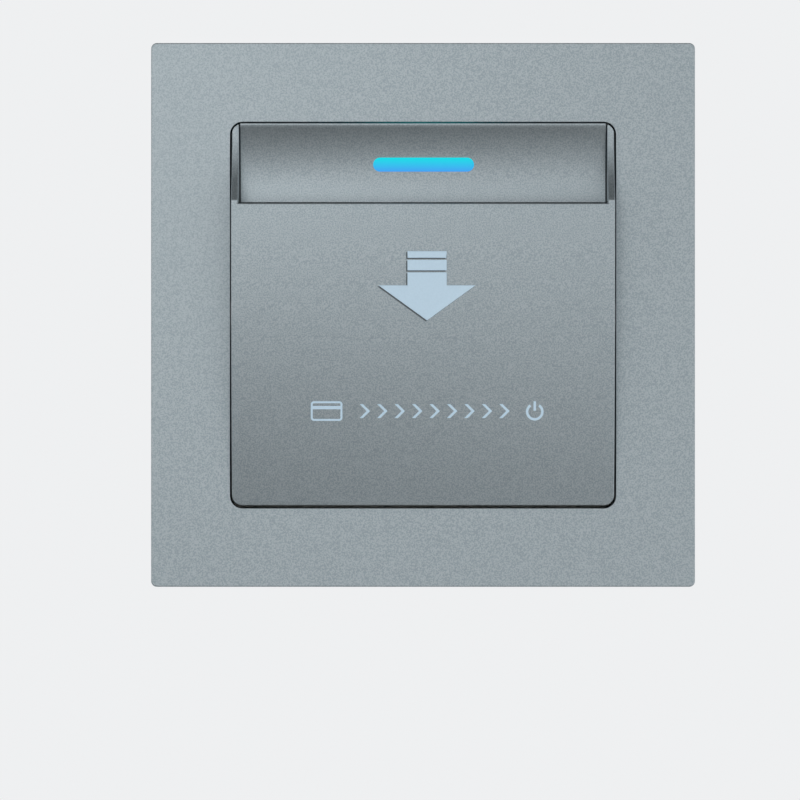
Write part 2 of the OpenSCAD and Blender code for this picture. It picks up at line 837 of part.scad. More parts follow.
module return_spring() {
    color([0.7, 0.71, 0.73]) polyhedron(
        points = [for (i = [0 : spring_steps], j = [0 : SIDES - 1]) wire_point(i, j)],
        faces = concat(
            [for (i = [0 : spring_steps - 1]) each skin(i)],
            cap(0, true),
            cap(spring_steps, false)
        )
    );
}

// Button size and the well that it slides in
button_w = 2.4;
button_d = 1.6;
well_gap = 0.3;
button_tail = 1.6;
button_l = plunger_h + button_tail;

module switch_body() {
    left = -switch_w * 0.66;
    well_x = button_w / 2 + well_gap;
    well_z = button_d / 2 + well_gap;
    well_y = plunger_y + button_l + plunger_travel + well_gap;
    peg_hole_y = board_y - 1.8;
    peg_hole_r = 0.9;
    hole_xs = [left + 2.2, left + switch_w - 1.6];
    color([0.12, 0.12, 0.13]) translate([0, 0, plunger_z]) difference() {
        box([left, switch_y, -switch_d / 2], [left + switch_w, board_y, switch_d / 2]);
        box([-well_x, switch_y - CUT, -well_z], [well_x, well_y, well_z]);
        for (x = hole_xs)
            translate([x, peg_hole_y, 0]) cylinder(r = peg_hole_r, h = switch_d + CUT, center = true);
    }
}

module switch_plunger() {
    tip_h = 0.4;
    color([0.85, 0.2, 0.16]) translate([0, plunger_y, plunger_z]) along_x(-button_w / 2, button_w / 2)
        polygon([
            [0, -button_d / 4], [tip_h, -button_d / 2], [button_l, -button_d / 2],
            [button_l, button_d / 2], [tip_h, button_d / 2], [0, button_d / 4]
        ]);
}

switch_pin_xs = [for (i = [0 : 2]) -switch_w * 0.5 + i * switch_w * 0.33];

module switch_pins() {
    wide = 0.9;
    thick = 0.5;
    color([0.8, 0.78, 0.7]) for (x = switch_pin_xs)
        translate([x, 0, plunger_z])
            box([-wide / 2, board_y, -thick / 2], [wide / 2, board_back_y - FIT, thick / 2]);
}

module rear_housing() {
    color([0.2, 0.21, 0.22]) difference() {
        union() {
            difference() {
                translate([0, housing_depth, 0]) mirror([0, 1, 0])
                    eased_block(housing_w, housing_h, housing_depth, housing_corner_r, housing_edge_r);
                along_y(-CUT, housing_back_y) rounded(inner_w, inner_h, housing_corner_r - housing_wall);
            }
            intersection() {
                corners(post_x, post_z) rod_y(sleeve_r, board_back_y, housing_back_y + JOIN);
                along_y(0, housing_depth) square([housing_w - 1, housing_h - 1], center = true);
            }
        }
        corners(post_x, post_z) {
            rod_y(housing_screw_r + CLEAR, board_back_y - CUT, housing_depth);
            rod_y(housing_head_r + CLEAR, board_back_y + sleeve_floor, housing_depth + CUT);
        }
        for (x = terminal_xs) {
            translate([x, 0, clamp_z])
                rod_y(terminal_head_r + CLEAR, housing_back_y - CUT, housing_depth + CUT);
            box([x - wire_entry / 2, wire_y - wire_entry / 2, -housing_h / 2 - CUT],
                [x + wire_entry / 2, wire_y + wire_entry / 2, -inner_h / 2 + CUT]);
        }
    }
}

module housing_screws() {
    color([0.72, 0.72, 0.74]) corners(post_x, post_z)
        screw(housing_screw_r, housing_head_r, board_y - housing_thread_l,
              board_back_y + sleeve_floor, housing_head_t);
}

module circuit_board() {
    corner_r = 1;
    pin_hole_r = 0.65;
    color([0.1, 0.36, 0.2]) difference() {
        along_y(board_y, board_back_y) rounded(board_w, board_h, corner_r);
        corners(post_x, post_z) rod_y(housing_screw_r + CLEAR, board_y - CUT, board_back_y + CUT);
        for (x = switch_pin_xs)
            translate([x, 0, plunger_z]) rod_y(pin_hole_r, board_y - CUT, board_back_y + CUT);
    }
}

module indicator_leds() {
    tip_y = 0.5;
    skirt_y = tip_y + led_l;
    skirt_t = 1;
    skirt_reach = 0.4;
    lead_x = 0.8;
    lead = 0.5;
    color([0.7, 0.85, 0.95]) translate([0, 0, lens_z]) pair(led_x) {
        translate([0, tip_y + led_r, 0]) sphere(led_r);
        rod_y(led_r, tip_y + led_r, skirt_y + JOIN);
        rod_y(led_r + skirt_reach, skirt_y, skirt_y + skirt_t);
        for (x = [-lead_x, lead_x])
            box([x - lead / 2, skirt_y + skirt_t - JOIN, -lead / 2], [x + lead / 2, board_y, lead / 2]);
    }
}

module relay() {
    foot_t = 1.2;
    inset = 0.3;
    corner_r = 0.8;
    groove_w = 2;
    groove_d = 0.5;
    color([0.13, 0.3, 0.62]) translate([relay_x, 0, relay_z]) difference() {
        union() {
            box([0, board_back_y, 0], [relay_w, board_back_y + foot_t, relay_d]);
            translate([relay_w / 2, 0, relay_d / 2]) along_y(board_back_y, board_back_y + relay_h)
                rounded(relay_w - 2 * inset, relay_d - 2 * inset, corner_r);
        }
        box([(relay_w - groove_w) / 2, board_back_y - CUT, -CUT],
            [(relay_w + groove_w) / 2, board_back_y + groove_d, relay_d + CUT]);
    }
}

module film_capacitor() {
    corner_r = 1;
    foot_w = 1.5;
    foot_t = 0.4;
    color([0.8, 0.68, 0.2]) translate([relay_x + film_w / 2, 0, film_z + film_d / 2]) difference() {
        along_y(board_back_y, board_back_y + film_h) rounded(film_w, film_d, corner_r);
        along_y(board_back_y - CUT, board_back_y + foot_t)
            square([film_w - 2 * foot_w, film_d + CUT], center = true);
    }
}

module electrolytic_capacitor() {
    rim = 0.5;
    crimp_h = 2;
    vent_d = 0.3;
    vent_rim = 1;
    color([0.15, 0.16, 0.3]) translate([column_x + can_r + part_gap, board_back_y, can_z])
        rotate([-90, 0, 0]) rotate_extrude() difference() {
            area(0, 0, can_r, can_h);
            translate([can_r + rim, crimp_h]) circle(2 * rim);
            area(0, can_h - vent_d, can_r - vent_rim, can_h + CUT);
        }
}

module varistor() {
    leg_x = 2.5;
    leg_z = 0.6;
    leg_r = 0.3;
    stand = 1;
    color([0.16, 0.36, 0.66]) translate([varistor_x, 0, relay_z + varistor_t / 2]) {
        translate([0, board_back_y + stand + varistor_r, 0]) rotate_extrude() {
            area(0, -varistor_t / 2, varistor_r - varistor_t / 2, varistor_t / 2);
            translate([varistor_r - varistor_t / 2, 0]) intersection() {
                circle(varistor_t / 2);
                area(0, -varistor_t, varistor_t, varistor_t);
            }
        }
        for (s = [-1, 1])
            translate([s * leg_x, 0, s * leg_z]) rod_y(leg_r, board_back_y, board_back_y + varistor_r);
    }
}

module bridge_rectifier() {
    wide = rectifier_w;
    deep = rectifier_d;
    chamfer = 1.2;
    stand = 0.5;
    pin_in = 1;
    pin_w = 0.8;
    pin_t = 0.6;
    color([0.11, 0.11, 0.12]) translate([column_x + part_gap, 0, rectifier_z]) {
        along_y(board_back_y + stand, board_back_y + rectifier_h)
            polygon([[0, 0], [wide, 0], [wide, deep - chamfer], [wide - chamfer, deep], [0, deep]]);
        for (i = [0 : 3])
            translate([pin_in + i * (wide - 2 * pin_in) / 3, 0, deep / 2])
                box([-pin_w / 2, board_back_y, -pin_t / 2],
                    [pin_w / 2, board_back_y + stand + JOIN, pin_t / 2]);
    }
}

module control_chip() {
    long = 4.9;
    deep = 3.9;
    low_y = board_back_y + 0.2;
    top_y = board_back_y + 1.7;
    pin_pitch = 1.27;
    pin_w = 0.4;
    pin_l = 1.2;
    pin_t = 0.4;
    color([0.1, 0.1, 0.11]) translate([relay_x + film_w / 2, 0, chip_z]) {
        box([-long / 2, low_y, -deep / 2], [long / 2, top_y, deep / 2]);
        for (i = [-1.5 : 1 : 1.5], s = [-1, 1])
            translate([i * pin_pitch, 0, s * (deep / 2 + pin_l / 3)])
                box([-pin_w / 2, board_back_y, -pin_l / 2], [pin_w / 2, board_back_y + pin_t, pin_l / 2]);
    }
}

module resistors() {
    body_l = resistor_l;
    body_r = resistor_r;
    lead_r = 0.3;
    lead_out = 1.4;
    lead_x = body_l / 2 + lead_out;
    middle_x = column_x + part_gap + lead_x + STEP + JOIN / 2;
    cap_l = 1.4;
    cap_in = 0.3;
    waist = 0.85;
    axis_y = board_back_y + body_r + STEP;
    color([0.72, 0.6, 0.42]) for (i = [0, 1])
        translate([middle_x, 0, resistor_z + i * (2 * body_r + part_gap)]) {
            translate([-body_l / 2, axis_y, 0]) rotate([0, 90, 0]) rotate_extrude() {
                area(0, 0, body_r * waist, body_l);
                for (cap_z = [cap_in, body_l - cap_in - cap_l])
                    area(0, cap_z, body_r, cap_z + cap_l);
            }
            translate([0, axis_y, 0]) rod_x(lead_r, -lead_x, lead_x);
            pair(lead_x - lead_r) rod_y(lead_r, board_back_y, axis_y);
        }
}

module terminal_block() {
    color([0.16, 0.17, 0.17]) difference() {
        box([-block_w / 2, board_back_y, block_z], [block_w / 2, block_end_y, block_z + block_h]);
        for (x = terminal_xs) {
            box([x - clamp_w / 2 - cell_gap, clamp_y - cell_gap, block_z - CUT],
                [x + clamp_w / 2 + cell_gap, cage_top_y + cell_gap, clamp_z + clamp_l / 2 + CLEAR]);
            translate([x, 0, clamp_z])
                rod_y(terminal_head_r + CLEAR, cage_top_y - CUT, housing_back_y + CUT);
        }
        corners(post_x, post_z) rod_y(sleeve_r + CLEAR, board_back_y - CUT, housing_back_y + CUT);
    }
}

module terminal_clamps() {
    hollow = wire_entry + STEP;
    hollow_y = clamp_y + clamp_wall;
    color([0.78, 0.62, 0.28]) for (x = terminal_xs)
        translate([x, 0, clamp_z]) difference() {
            box([-clamp_w / 2, clamp_y, -clamp_l / 2], [clamp_w / 2, cage_top_y, clamp_l / 2]);
            box([-hollow / 2, hollow_y, -clamp_l], [hollow / 2, hollow_y + hollow, clamp_l]);
            rod_y(terminal_screw_r + FIT, hollow_y + hollow - CUT, cage_top_y + CUT);
        }
}

module terminal_screws() {
    head_t = 1.8;
    slot_d = 0.8;
    slot_w = 0.7;
    bite = 0.6;
    slot_y = head_y + head_t - slot_d;
    color([0.75, 0.74, 0.7]) for (x = terminal_xs)
        translate([x, 0, clamp_z]) difference() {
            union() {
                rod_y(terminal_screw_r, wire_y + wire_entry / 2 - bite, head_y + JOIN);
                rod_y(terminal_head_r, head_y, head_y + head_t);
            }
            box([-terminal_head_r - CUT, slot_y, -slot_w / 2],
                [terminal_head_r + CUT, slot_y + CUT, slot_w / 2]);
        }
}

trim_frame();
pocket_cover();
scoop_panel();
indicator_lens();
front_screws();
base_plate();
card_trigger();
trigger_pin();
return_spring();
switch_body();
switch_plunger();
switch_pins();
rear_housing();
housing_screws();
circuit_board();
indicator_leds();
relay();
film_capacitor();
electrolytic_capacitor();
varistor();
bridge_rectifier();
control_chip();
resistors();
terminal_block();
terminal_clamps();
terminal_screws();
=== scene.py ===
# %% [markdown]
# # A hotel key card switch
#
# This wall switch turns a hotel room's power on while a key card stands in its pocket. A square
# face plate frames the pocket: a bowed cover, a finger recess above it with a light bar, and a
# raised arrow that shows which way the card goes. Behind it are a base plate and a housing with
# the relay board. The CAD parts give every place and size; this lesson gives them their looks.
# The front is modelled again, because light catches on eased edges that the CAD model leaves sharp.

# %% Load the CAD parts
import json
import math

import bmesh
import bpy
from mathutils import Matrix, Vector


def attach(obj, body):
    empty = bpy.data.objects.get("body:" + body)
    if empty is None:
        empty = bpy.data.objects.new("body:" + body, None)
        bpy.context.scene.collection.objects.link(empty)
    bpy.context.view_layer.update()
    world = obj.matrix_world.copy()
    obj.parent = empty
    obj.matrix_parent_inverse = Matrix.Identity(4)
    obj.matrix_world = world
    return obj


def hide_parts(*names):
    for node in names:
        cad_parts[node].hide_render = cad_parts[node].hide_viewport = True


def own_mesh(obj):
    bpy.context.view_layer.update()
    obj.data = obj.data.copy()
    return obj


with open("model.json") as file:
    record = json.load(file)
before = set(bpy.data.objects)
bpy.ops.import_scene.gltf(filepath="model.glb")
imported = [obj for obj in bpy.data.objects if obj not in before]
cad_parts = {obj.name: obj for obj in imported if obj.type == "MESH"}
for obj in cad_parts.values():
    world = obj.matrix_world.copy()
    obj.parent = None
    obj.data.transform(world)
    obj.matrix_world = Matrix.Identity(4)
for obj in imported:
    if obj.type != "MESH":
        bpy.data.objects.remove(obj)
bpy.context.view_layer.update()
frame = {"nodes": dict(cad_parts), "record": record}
scene = bpy.context.scene
scene.view_settings.view_transform = "Standard"
MM = 0.001

# %% [markdown]
# ## Sums in a shader
#
# A finish is a small sum: a grey, a little lighter where a flake shows, a little rougher where it
# doesn't. Wiring Math nodes by hand hides that sum, so one class wraps a socket and lets Python's
# own signs add the nodes, and one method makes every other node.

# %% A value that can be used in sums
class Value:
    """One output of a shader node, which can be used in sums."""

    def __init__(self, paint, socket):
        self.paint, self.socket = paint, socket

    def __add__(self, other):
        return self.paint.node("Math", {0: self, 1: other}, operation="ADD")

    def __sub__(self, other):
        return self.paint.node("Math", {0: self, 1: other}, operation="SUBTRACT")

    def __rsub__(self, other):
        return self.paint.node("Math", {0: other, 1: self}, operation="SUBTRACT")

    def __mul__(self, other):
        return self.paint.node("Math", {0: self, 1: other}, operation="MULTIPLY")

    __radd__, __rmul__ = __add__, __mul__


print("sums ready: +, - and *")

# %% The nodes of one finish
class Paint:
    """The nodes of one material or of the world."""

    def __init__(self, owner):
        owner.use_nodes = True
        self.owner, self.tree = owner, owner.node_tree
        self.tree.nodes.clear()

    def node(self, kind, sockets=(), out=0, **settings):
        made = self.tree.nodes.new("ShaderNode" + kind)
        for key, value in settings.items():
            setattr(made, key, value)
        for key, value in dict(sockets).items():
            if isinstance(value, Value):
                self.tree.links.new(value.socket, made.inputs[key])
            else:
                made.inputs[key].default_value = value
        return Value(self, made.outputs[out]) if made.outputs else made

    def noise(self, size_mm, detail, stretch=None):
        """Soft spots of about this size, on the piece's own coordinates."""
        place = self.node("TexCoord", out="Object")
        if stretch:
            place = self.node("Mapping", {"Vector": place, "Scale": stretch})
        return self.node("TexNoise", {"Vector": place, "Scale": 1 / (size_mm * MM), "Detail": detail})

    def mix(self, share, a, b):
        return self.node("Mix", {"Factor": share, 6: (*a, 1) if isinstance(a, tuple) else a,
                                 7: (*b, 1) if isinstance(b, tuple) else b}, out=2, data_type="RGBA")

    def bump(self, height, depth_mm, strength):
        return self.node("Bump", {"Height": height, "Strength": strength, "Distance": depth_mm * MM})

    def surface(self, **sockets):
        """A Principled surface; the keywords are its sockets, with _ for a space."""
        named = {key.replace("_", " "): value for key, value in sockets.items()}
        skin = self.node("BsdfPrincipled", named)
        self.node("OutputMaterial", {"Surface": skin})
        return self.owner


finishes = {}
print("paint box ready")

# %% [markdown]
# ## Grey flake paint
#
# The front is sprayed plastic: a blue-grey lacquer with fine metal flakes. Close up it is a fine
# grain of lighter and darker specks, a fifth of a millimetre across, over faint clouds that are
# a little greener or bluer. The flakes make it partly metallic, so a face that is turned away from
# the light goes dark sooner than plain plastic would. The recess looks a little glossier than the
# rest, so it gets a smoother coat of its own. A picture of the paint could be wrapped round the
# pieces; noise on each piece's own coordinates needs none, and covers every side alike.

# %% Make the flake paint
FLAKE, CLOUD, PATCH = 0.21, 1.6, 0.7
FLAKE_CONTRAST, CLOUD_CONTRAST = 3.6, 0.5


def flake_paint(name, rough):
    paint = Paint(bpy.data.materials.new(name + "_finish"))
    flakes = paint.noise(FLAKE, 1)
    clouds = paint.noise(CLOUD, 3)
    tone = (flakes - 0.5) * FLAKE_CONTRAST + (clouds - 0.5) * CLOUD_CONTRAST + 0.5
    grey = paint.mix(tone, (0.262, 0.312, 0.336), (0.425, 0.472, 0.494))
    tint = paint.mix(paint.noise(PATCH, 2), (0.335, 0.400, 0.415), (0.345, 0.382, 0.418))
    colour = paint.mix(0.3, grey, tint)
    return paint.surface(
        Base_Color=colour, Metallic=0.85, Roughness=rough + flakes * 0.12,
        Normal=paint.bump(flakes, 0.008, 0.5),
    )


finishes["face_grey"] = flake_paint("face_grey", 0.40)
recess_grey = flake_paint("recess_grey", 0.35)
print("front finishes:", finishes["face_grey"].name, recess_grey.name)

# %% [markdown]
# ## Moulded plastics
#
# The hidden mouldings differ in colour and in grain: the base is a satin white, the housing a
# finely textured black, the small components glossier. Each could be wired by hand. One recipe
# covers them all and keeps them alike: a base colour with a slow drift, a grain of a given size,
# and roughness that follows the grain.

# %% A recipe for moulded plastic
def moulded(name, colour, rough, grain_mm, grain_depth_mm, spread=0.13):
    paint = Paint(bpy.data.materials.new(name + "_finish"))
    grain = paint.noise(grain_mm, 2)
    drift = paint.noise(9, 2)
    light = tuple(min(1.0, c * (1 + spread)) for c in colour)
    dark = tuple(c * (1 - spread) for c in colour)
    tone = (grain - 0.5) * 1.6 + drift * 0.5 + 0.25
    return paint.surface(
        Base_Color=paint.mix(tone, dark, light), Roughness=rough - 0.06 + grain * 0.12,
        Normal=paint.bump(grain, grain_depth_mm, 0.6),
    )


print("recipe ready: moulded")

# %% Make the plastics
for name, colour, *grain in (
    ("base_white", (0.74, 0.74, 0.70), 0.45, 0.37, 0.006, 0.10),
    ("trigger_white", (0.80, 0.80, 0.76), 0.40, 0.31, 0.004, 0.08),
    ("housing_black", (0.030, 0.032, 0.035), 0.50, 0.43, 0.060, 0.60),
    ("terminal_black", (0.026, 0.028, 0.028), 0.48, 0.31, 0.010, 0.40),
    ("switch_black", (0.016, 0.016, 0.018), 0.34, 0.31, 0.005),
    ("button_red", (0.52, 0.035, 0.022), 0.32, 0.25, 0.003),
    ("relay_blue", (0.020, 0.085, 0.330), 0.36, 0.35, 0.006),
    ("film_yellow", (0.62, 0.42, 0.045), 0.38, 0.51, 0.010),
    ("varistor_blue", (0.025, 0.120, 0.400), 0.30, 0.61, 0.012),
    ("chip_black", (0.014, 0.014, 0.015), 0.55, 0.13, 0.006),
    ("resistor_tan", (0.52, 0.36, 0.20), 0.40, 0.31, 0.005),
):
    finishes[name] = moulded(name, colour, *grain)
print("plastics:", len(finishes) - 1)

# %% [markdown]
# ## Metals, board, sleeve and lamps
#
# Screws and the pin are turned steel with fine rings of wear, the clamps are brass that has dulled
# a little, the legs are tinned. The board is green lacquer over a faint weave, the capacitor's can
# wears a shrunk sleeve, and the lamps are clear resin. Wear and weave could be modelled, but on
# parts this small a stretched noise in colour and roughness looks the same.

# %% Make the metals
def metal(name, colour, rough, streak):
    paint = Paint(bpy.data.materials.new(name + "_finish"))
    marks = paint.noise(0.25, 3, stretch=streak)
    dull = paint.noise(1.8, 3)
    worn = tuple(c * 0.72 for c in colour)
    return paint.surface(
        Base_Color=paint.mix(dull * 0.7 + marks * 0.3, worn, colour), Metallic=1.0,
        Roughness=rough + marks * 0.18, Normal=paint.bump(marks, 0.004, 0.5),
    )


finishes["steel"] = metal("steel", (0.62, 0.62, 0.64), 0.22, (1, 4, 1))
finishes["tinned_steel"] = metal("tinned_steel", (0.66, 0.64, 0.58), 0.30, (1, 1, 3))
finishes["brass"] = metal("brass", (0.70, 0.47, 0.17), 0.26, (3, 1, 1))
print("metals:", finishes["steel"].name, finishes["tinned_steel"].name, finishes["brass"].name)

# %% Make the board, the sleeve and the lamps
board = Paint(bpy.data.materials.new("board_green_finish"))
weave = board.noise(0.45, 1, stretch=(1, 1, 4)) * 0.5 + board.noise(0.45, 1, stretch=(4, 1, 1)) * 0.5
finishes["board_green"] = board.surface(
    Base_Color=board.mix(weave, (0.006, 0.075, 0.026), (0.018, 0.155, 0.060)),
    Roughness=0.28 + weave * 0.14, Normal=board.bump(weave, 0.006, 0.5),
)

sleeve = Paint(bpy.data.materials.new("can_blue_finish"))
film = sleeve.noise(0.8, 2, stretch=(1, 0.2, 1))
finishes["can_blue"] = sleeve.surface(
    Base_Color=sleeve.mix(film, (0.012, 0.014, 0.070), (0.030, 0.034, 0.120)), Roughness=0.22 + film * 0.12,
)

lamp = Paint(bpy.data.materials.new("lamp_clear_finish"))
haze = lamp.noise(0.8, 2)
finishes["lamp_clear"] = lamp.surface(
    Base_Color=lamp.mix(haze, (0.55, 0.74, 0.86), (0.76, 0.88, 0.94)), Roughness=0.08 + haze * 0.08,
    Coat_Weight=0.4, Emission_Color=(0.10, 0.55, 0.85, 1), Emission_Strength=0.35,
)
print("finishes so far:", len(finishes))

# %% [markdown]
# ## The light bar's glow
#
# The bar is a blue light guide lit from behind. It looks flat and even, a little greener along its
# top edge and bluer along its lower edge. Lamps behind clear plastic could light it, and would make
# it spotty. A glow that changes only with height gives the even look, and a faint gloss keeps it a
# moulded piece.

# %% Make the glow
LENS_X, LENS_Z = 0.08, 23.83
LENS_W, LENS_H = 15.97, 2.20
glow = Paint(bpy.data.materials.new("indicator_blue_finish"))
height = glow.node("SeparateXYZ", {0: glow.node("TexCoord", out="Object")}, out="Z")
rise = (height - (LENS_Z - LENS_H / 2) * MM) * (1 / (LENS_H * MM))
shine = glow.mix(rise, (0.052, 0.305, 0.815), (0.000, 0.675, 0.712))
haze = glow.noise(0.9, 2)
finishes["indicator_blue"] = glow.surface(
    Base_Color=glow.mix(haze, (0.008, 0.060, 0.100), (0.010, 0.080, 0.120)), Roughness=0.25 + haze * 0.1,
    Emission_Color=shine, Emission_Strength=1.0, Specular_IOR_Level=0.08,
)
print("light bar glows between", LENS_Z - LENS_H / 2, "and", LENS_Z + LENS_H / 2, "mm")

# %% [markdown]
# ## Pale print and a painted shadow
#
# The arrow and the small signs are a pale ice-blue lacquer, with the paint's fine grain showing
# through a little. A dark grey of the same kind paints the shadow that the raised arrow casts to
# its left and below. They could be painted on the cover through a mask; as thin pieces of their
# own they keep a crisp edge.

# %% Make the print and the painted shadow
# Makes the pale print, and also the dark grey that paints the arrow's shadow.
def print_and_shadow_paint(name, dark, light):
    layer_paint = Paint(bpy.data.materials.new(name + "_finish"))
    speck = layer_paint.noise(0.3, 2)
    return layer_paint.surface(
        Base_Color=layer_paint.mix(speck, dark, light), Roughness=0.42 + speck * 0.1,
        Normal=layer_paint.bump(speck, 0.004, 0.4),
    )


pale_print = print_and_shadow_paint("pale_print", (0.485, 0.645, 0.770), (0.555, 0.715, 0.842))
# Painted shadow: this dark grey stands in for the shadow that the raised arrow casts to its left and below.
painted_shadow = print_and_shadow_paint("painted_shadow", (0.070, 0.087, 0.098), (0.095, 0.116, 0.130))
print("prints:", pale_print.name, painted_shadow.name)

# %% [markdown]
# ## Dress the CAD parts
#
# Most inner parts already have the right shape. They could be modelled again, but nothing would be
# gained, so they only take their finish. The record says which finish each part wears.

# %% Give each CAD part its finish
for part in frame["record"]["subparts"]:
    held = frame["nodes"][part["node"]]
    held.data.materials.clear()
    held.data.materials.append(finishes[part["material_slot"]])

# %% [markdown]
# ## From a bmesh to a piece
#
# The pieces are drawn in millimetres, in the CAD model's own frame: x to the right, z up, the wall
# at y = 0 and the room at negative y. Every piece could repeat the same closing steps. One helper
# does them: it points the faces outwards, shrinks millimetres to metres, smooths the rounded faces
# and keeps the sharp edges, hangs the piece on the CAD body that carries it, and hides the CAD part
# that it stands for.

# %% Helper: finish a piece
SHARP = 32


def piece(name, bm, material, body, stands_for=None, sharp=SHARP):
    bmesh.ops.recalc_face_normals(bm, faces=bm.faces)
    bmesh.ops.scale(bm, vec=(MM, MM, MM), verts=bm.verts)
    mesh = bpy.data.meshes.new(name)
    bm.to_mesh(mesh)
    bm.free()
    mesh.materials.append(material)
    mesh.shade_smooth()
    mesh.set_sharp_from_angle(angle=math.radians(sharp))
    made = bpy.data.objects.new(name, mesh)
    scene.collection.objects.link(made)
    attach(made, body)
    if stands_for:
        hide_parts(stands_for)
    print(name, "has", len(mesh.polygons), "faces and rides on", body)
    return made


print("edges over", SHARP, "degrees stay sharp")

# %% Helper: ease the edges
def eased(made, width_mm, segments=2, angle=40):
    """Eases a piece's sharp outer edges, as a mould does. Inner corners stay sharp."""
    bm = bmesh.new()
    bm.from_mesh(made.data)
    share = bm.edges.layers.float.new("bevel_weight_edge")
    for e in bm.edges:
        if e.is_convex and e.calc_face_angle(0) > math.radians(angle):
            e[share] = 1.0
    bm.to_mesh(made.data)
    bm.free()
    bevel = made.modifiers.new("eased", "BEVEL")
    bevel.width = width_mm * MM
    bevel.segments = segments
    bevel.limit_method = "WEIGHT"
    print(made.name, "eased by", width_mm, "mm")
    return made


def evened(made):
    """Makes large flat faces shade flat, so that only the eased edges turn."""
    even = made.modifiers.new("evened", "WEIGHTED_NORMAL")
    even.keep_sharp = True
    return made


print("helpers ready: eased, evened")

# %% [markdown]
# ## Square loops with round corners
#
# The face plate is one cross-section carried round a square: skirt, front, window edge, collar.
# It could be cut from a block with booleans. Square loops that are extruded from one another keep
# every face a clean quad, and the two front loops can then be bevelled into eased edges.

# %% Helper: a square loop
def rounded(bm, geom, radius, steps, affect):
    bmesh.ops.bevel(bm, geom=geom, offset=radius, offset_type="OFFSET", segments=steps,
                    profile=0.5, affect=affect, material=-1)


def flat_face(bm, half_x, half_z, y, corner, steps=6, x=0.0, z=0.0):
    """A flat rectangle that faces the room, with round corners. Gives its edges and its face."""
    old = set(bm.edges)
    turn = Matrix.Translation((x, y, z)) @ Matrix.Rotation(math.pi / 2, 4, "X")
    made = bmesh.ops.create_grid(bm, x_segments=1, y_segments=1, size=1,
                                 matrix=turn @ Matrix.Diagonal((half_x, half_z, 1, 1)))
    if corner:
        rounded(bm, made["verts"], corner, steps, "VERTICES")
    edges = [e for e in bm.edges if e not in old]
    return edges, edges[0].link_faces[0]


print("helpers ready: rounded, flat_face")

# %% Helper: carry a loop on
def points_in(geom):
    return [v for v in geom if isinstance(v, bmesh.types.BMVert)]


def lines_in(geom):
    return [e for e in geom if isinstance(e, bmesh.types.BMEdge)]


def carried_on(bm, edges, old, new):
    """Extrudes a square loop and gives the new loop its own half width, corner radius and depth."""
    made = bmesh.ops.extrude_edge_only(bm, edges=edges)["geom"]
    fresh = points_in(made)
    for v in fresh:
        turn = [(abs(c) - old[0] + old[1]) / old[1] for c in (v.co.x, v.co.z)]
        x, z = (new[0] - new[1] + t * new[1] for t in turn)
        v.co = (math.copysign(x, v.co.x), new[2], math.copysign(z, v.co.z))
    return [e for e in lines_in(made) if e.verts[0] in fresh and e.verts[1] in fresh]


print("helpers ready: points_in, lines_in, carried_on")

# %% [markdown]
# ## The face plate
#
# An 86 mm square moulding, 10.7 mm deep and 2 mm thick. Its corners are almost square, its front
# edge is eased by a fifth of a millimetre, and the window's edge by even less. The dark gap below
# the cover looks wider than the others, so the window's lower edge is set a little lower.

# %% Model the face plate
FRONT, BACK, COLLAR, SKIRT = -11.0, -9.0, -6.8, -0.3
PLATE, PLATE_R, PLATE_EASE = 43.0, 0.9, 0.2
WINDOW, WINDOW_R, WINDOW_EASE = 30.5, 1.9, 0.08
WALL_T, COLLAR_T, INNER_R = 2.0, 1.2, 0.3
LOWER_GAP = 0.08

section = [
    (PLATE, PLATE_R, SKIRT), (PLATE, PLATE_R, FRONT),
    (WINDOW, WINDOW_R, FRONT), (WINDOW, WINDOW_R, COLLAR),
    (WINDOW + COLLAR_T, WINDOW_R + COLLAR_T, COLLAR), (WINDOW + COLLAR_T, WINDOW_R + COLLAR_T, BACK),
    (PLATE - WALL_T, INNER_R, BACK), (PLATE - WALL_T, INNER_R, SKIRT), (PLATE, PLATE_R, SKIRT),
]
bm = bmesh.new()
edges, face = flat_face(bm, PLATE, PLATE, SKIRT, PLATE_R)
bmesh.ops.delete(bm, geom=[face], context="FACES_ONLY")
rings = [edges]
for old, new in zip(section, section[1:]):
    rings.append(carried_on(bm, rings[-1], old, new))
outer_edge, window_edge, window_back = rings[1:4]
bmesh.ops.remove_doubles(bm, verts=bm.verts, dist=1e-4)
bmesh.ops.recalc_face_normals(bm, faces=bm.faces)
for v in {v for e in window_edge + window_back for v in e.verts if v.co.z < 0}:
    v.co.z -= LOWER_GAP
for ring, ease in ((outer_edge, PLATE_EASE), (window_edge, WINDOW_EASE)):
    rounded(bm, ring, ease, 4, "EDGES")
face_plate = piece("face_plate", bm, finishes["face_grey"], "front", "trim_frame")

# %% [markdown]
# ## Drawing a side view
#
# The snap legs, the cover and the recess are side views drawn out across the plate. Their outlines
# could be typed as lists of points. A small pen keeps their sizes readable: straight runs extrude
# the last point, arcs spin it.

# %% Helper: a pen for side views
class Pen:
    """Draws a line of edges in a side view, at one x."""

    def __init__(self, bm, x, y, z):
        self.bm, self.x, self.old = bm, x, set(bm.edges)
        self.first = self.last = bm.verts.new((x, y, z))

    def line(self, y, z):
        self.last = bmesh.ops.extrude_vert_indiv(self.bm, verts=[self.last])["verts"][0]
        self.last.co = (self.x, y, z)
        return self

    def arc(self, y, z, degrees, steps):
        made = bmesh.ops.spin(self.bm, geom=[self.last], cent=(self.x, y, z), axis=(1, 0, 0),
                              angle=math.radians(degrees), steps=steps)
        self.last = made["geom_last"][0]
        return self

    def close(self):
        self.bm.edges.new((self.last, self.first))
        drawn = [e for e in self.bm.edges if e not in self.old]
        return bmesh.ops.edgeloop_fill(self.bm, edges=drawn)["faces"]


print("helper ready: Pen")

# %% Helper: draw out and mirror
def drawn_out(bm, faces, vector):
    """Extrudes faces and moves the new ones by vector."""
    made = bmesh.ops.extrude_face_region(bm, geom=faces)["geom"]
    bmesh.ops.translate(bm, vec=vector, verts=points_in(made))


